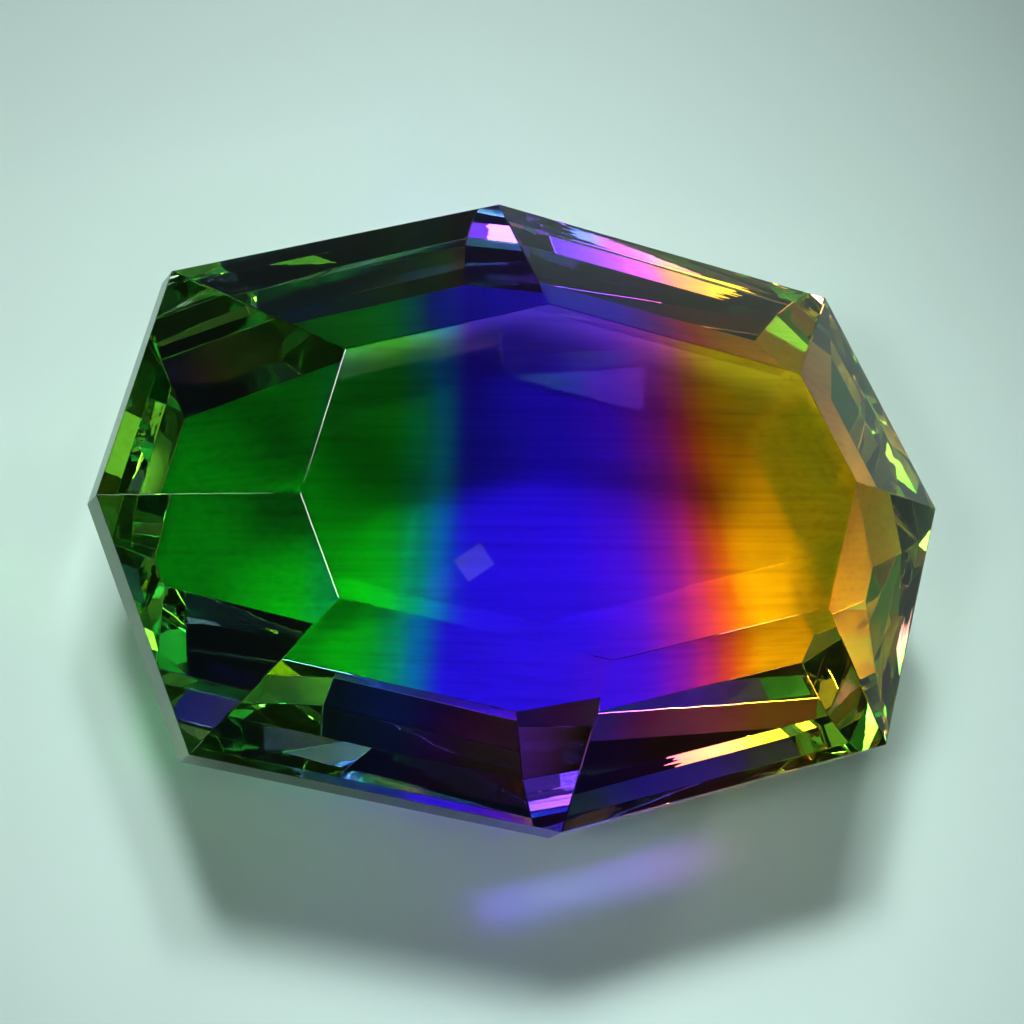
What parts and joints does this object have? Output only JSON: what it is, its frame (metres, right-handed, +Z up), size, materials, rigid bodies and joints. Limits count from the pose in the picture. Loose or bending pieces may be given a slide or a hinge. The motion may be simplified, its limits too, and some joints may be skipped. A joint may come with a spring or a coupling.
{
  "type": "gemstone",
  "caption": "Clear colour-zoned tourmaline cut as a long octagon, with a flat table, sloping crown facets, a thin girdle and a shallow stepped pavilion with a large culet.",
  "frame": {"origin": "middle of the stone's box at the culet, where it rests", "axes": "+X along the stone's length towards its amber end, +Y across its width, +Z up out of the table"},
  "size_m": [0.042, 0.03, 0.0149],
  "materials": {
    "gemstone": "polished, clear, green to violet-blue to amber along its length"
  },
  "bodies": {
    "root": {"gemstone": "gemstone"}
  },
  "joints": []
}
